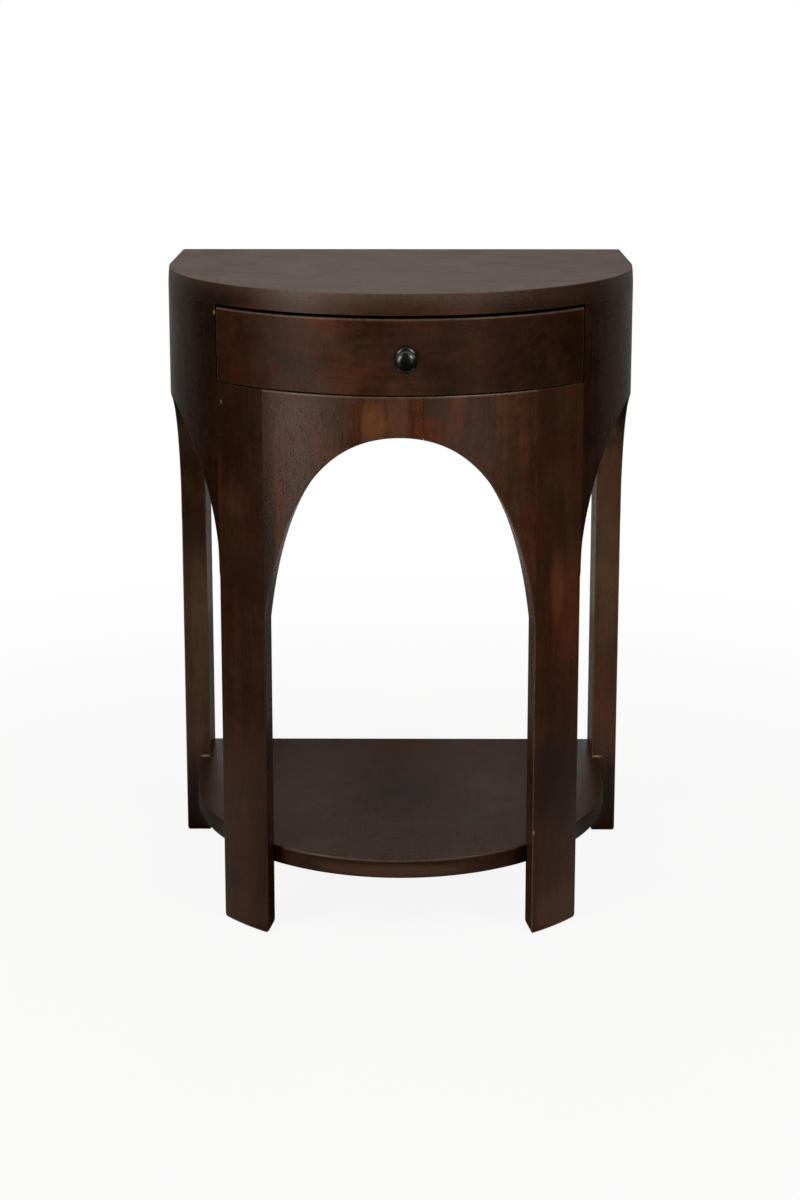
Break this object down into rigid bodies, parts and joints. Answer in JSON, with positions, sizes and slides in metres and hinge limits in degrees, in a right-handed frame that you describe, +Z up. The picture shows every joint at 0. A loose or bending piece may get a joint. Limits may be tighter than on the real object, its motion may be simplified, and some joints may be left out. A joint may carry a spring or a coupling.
{
  "type": "side table",
  "caption": "D-shaped wooden side table with a curved wall cut by arches into legs, a bow-front drawer with a round knob under the top, and a low shelf.",
  "frame": {"origin": "on the floor under the middle of the bounding box, knob included", "axes": "+Z up, -Y to the front where the drawer opens, +X to the right as seen from the front"},
  "size_m": [0.45, 0.3728, 0.61],
  "materials": {
    "stained_wood": "dark brown stain under satin lacquer",
    "pale_wood": "bare, sanded",
    "plywood": "bare, sanded",
    "black_metal": "gloss black",
    "steel": "plated"
  },
  "bodies": {
    "carcass": {"top_panel": "stained_wood", "shelf": "stained_wood", "front_stave_1": "stained_wood", "front_stave_2": "stained_wood", "front_stave_3": "stained_wood", "front_stave_4": "stained_wood", "front_stave_5": "stained_wood", "left_front_leg": "stained_wood", "right_front_leg": "stained_wood", "left_back_leg": "stained_wood", "right_back_leg": "stained_wood", "left_side_stave_front": "stained_wood", "left_side_stave_back": "stained_wood", "right_side_stave_front": "stained_wood", "right_side_stave_back": "stained_wood", "back_apron": "stained_wood", "left_bearer": "pale_wood", "right_bearer": "pale_wood", "left_guide": "pale_wood", "right_guide": "pale_wood", "left_stop": "pale_wood", "right_stop": "pale_wood", "left_cleat": "pale_wood", "right_cleat": "pale_wood", "left_guide_screw_front": "steel", "left_guide_screw_back": "steel", "right_guide_screw_front": "steel", "right_guide_screw_back": "steel", "left_cleat_screw_front": "steel", "left_cleat_screw_back": "steel", "right_cleat_screw_front": "steel", "right_cleat_screw_back": "steel"},
    "drawer": {"drawer_front": "stained_wood", "drawer_left_side": "pale_wood", "drawer_right_side": "pale_wood", "drawer_back": "pale_wood", "drawer_bottom": "plywood", "bottom_screw_left": "steel", "bottom_screw_right": "steel", "knob": "black_metal", "knob_screw": "steel"}
  },
  "joints": [
    {"name": "drawer_slide", "type": "slide", "parent": "carcass", "child": "drawer", "axis": [0, -1, 0], "range_m": [0, 0.16]}
  ]
}
